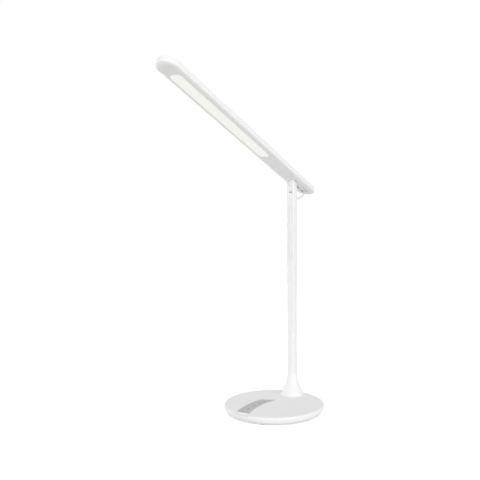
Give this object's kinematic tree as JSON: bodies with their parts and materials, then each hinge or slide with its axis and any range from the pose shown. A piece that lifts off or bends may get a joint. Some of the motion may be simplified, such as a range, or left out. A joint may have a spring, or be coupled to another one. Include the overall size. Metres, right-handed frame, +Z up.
{
  "type": "folding led desk lamp",
  "caption": "Folding desk lamp with a round weighted base, a square stem with a night light, and a long flat lamp head on a friction hinge.",
  "frame": {"origin": "centre of the round base, on the surface the rubber feet stand on", "axes": "+Z up along the stem, -Y towards the front where the lamp head reaches out, +X to the right seen from the front"},
  "size_m": [0.18, 0.4366, 0.5571],
  "materials": {
    "white_abs": "satin moulded white plastic",
    "white_paint": "satin white paint on die-cast metal",
    "touch_grey": "grey satin touch film",
    "glow_plastic": "translucent warm white plastic",
    "opal_diffuser": "fine matt opal acrylic",
    "clear_acrylic": "polished clear acrylic plate",
    "reflector_film": "white reflector sheet",
    "foot_rubber": "soft grey rubber",
    "grommet_rubber": "grey rubber grommet",
    "cable_sheath": "smooth white cable sheath",
    "steel": "zinc-plated steel",
    "aluminium": "rolled sheet",
    "circuit_board": "green solder mask",
    "white_board": "white LED strip with yellow chips",
    "black_plastic": "moulded black socket"
  },
  "bodies": {
    "stand": {"rubber_feet": "foot_rubber", "base_tray": "white_abs", "ballast_disc": "steel", "base_cover": "white_abs", "base_screws": "steel", "control_board": "circuit_board", "dc_inlet": "black_plastic", "touch_strip": "touch_grey", "touch_board": "circuit_board", "stem_foot": "white_abs", "stem_core": "steel", "stem_screws": "steel", "stem_back_cover": "white_abs", "stem_lower_cover": "white_abs", "stem_upper_cover": "white_abs", "stem_trim": "white_abs", "night_light_cover": "glow_plastic", "night_light_board": "circuit_board", "stem_hinge_block": "white_paint", "hinge_pin": "steel", "hinge_pin_covers": "white_abs", "hinge_washers": "steel", "stem_cable_grommet": "grommet_rubber", "hinge_cable": "cable_sheath"},
    "head": {"hinge_lug": "white_paint", "lug_screws": "steel", "head_shell": "white_abs", "head_cover": "white_abs", "head_cable_grommet": "grommet_rubber", "diffuser": "opal_diffuser", "light_guide": "clear_acrylic", "reflector": "reflector_film", "led_strips": "white_board", "heat_plate": "aluminium", "heat_plate_screws": "steel"}
  },
  "joints": [
    {"name": "head_tilt", "type": "hinge", "parent": "stand", "child": "head", "pos_m": [0, 0.066, 0.4065], "axis": [1, 0, 0], "range_deg": [-36.4, 106.6], "deforming": ["hinge_cable"]}
  ]
}
